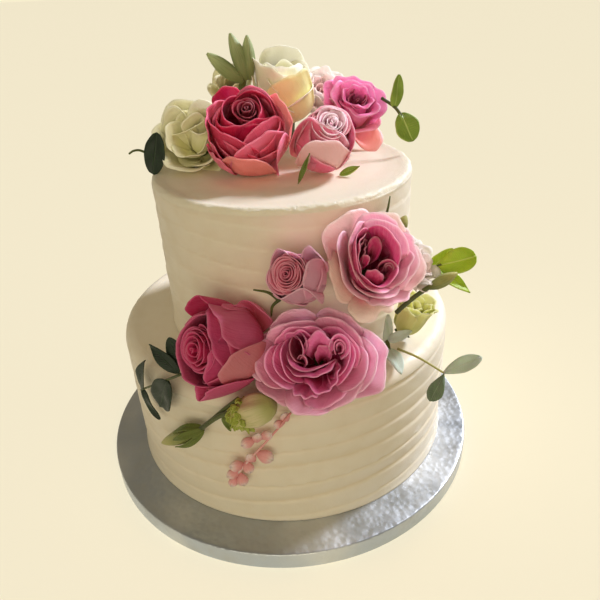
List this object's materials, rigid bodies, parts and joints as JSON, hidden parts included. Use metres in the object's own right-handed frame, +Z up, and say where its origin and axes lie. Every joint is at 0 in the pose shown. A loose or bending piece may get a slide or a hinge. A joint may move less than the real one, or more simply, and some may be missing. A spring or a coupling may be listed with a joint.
{
  "type": "tiered cake",
  "caption": "Round two-tier buttercream cake on a foil cake board, with knife-combed sides and fresh roses, buds and leaves on top and on the ledge.",
  "frame": {"origin": "centre of the board's underside", "axes": "+Z up through the tiers, -Y towards the side with the ledge flowers"},
  "size_m": [0.254, 0.254, 0.2672],
  "materials": {
    "board_foil": "embossed silver foil",
    "buttercream": "ivory buttercream, soft sheen",
    "petals_pink": "pink rose petal",
    "petals_pale_pink": "pale pink rose petal",
    "petals_deep_pink": "deep pink rose petal",
    "petals_coral": "coral pink rose petal",
    "petals_bright_pink": "bright pink rose petal",
    "petals_white": "creamy white petal",
    "petals_peach": "peach petal",
    "bud_green": "yellow-green flower bud",
    "sprig_pink": "pink seed sprig",
    "leaf_dark": "dark blue-green leaf",
    "leaf_silver": "silvery green leaf",
    "leaf_bright": "fresh green leaf"
  },
  "bodies": {
    "root": {"cake_board": "board_foil", "bottom_tier": "buttercream", "top_tier": "buttercream", "rose_cupped_ledge": "petals_pink", "rose_garden_ledge": "petals_pink", "bud_pink_ledge": "petals_pink", "rose_coral_ledge": "petals_coral", "rose_deep_pink_top": "petals_deep_pink", "bud_pale_pink_top": "petals_pale_pink", "rose_bright_pink_top": "petals_bright_pink", "rose_white_top": "petals_white", "bloom_white_top": "petals_white", "rose_blush_back": "petals_pale_pink", "rose_cream_back": "petals_white", "bloom_cream_right": "petals_white", "flower_peach_right": "petals_peach", "bud_open_green": "bud_green", "bud_closed_green": "bud_green", "bud_green_right": "bud_green", "bud_green_wall": "bud_green", "buds_green_top": "bud_green", "sprig_pink": "sprig_pink", "sprig_left": "leaf_dark", "leaves_dark_left": "leaf_dark", "leaf_top_left": "leaf_dark", "sepals_dark_wall": "leaf_dark", "sprig_right": "leaf_silver", "leaves_silver_ledge": "leaf_silver", "leaves_bright_right": "leaf_bright", "leaves_top_right": "leaf_bright", "sepal_top_left": "leaf_bright", "sepal_top_right": "leaf_bright", "tip_green_wall": "leaf_bright"}
  },
  "joints": []
}
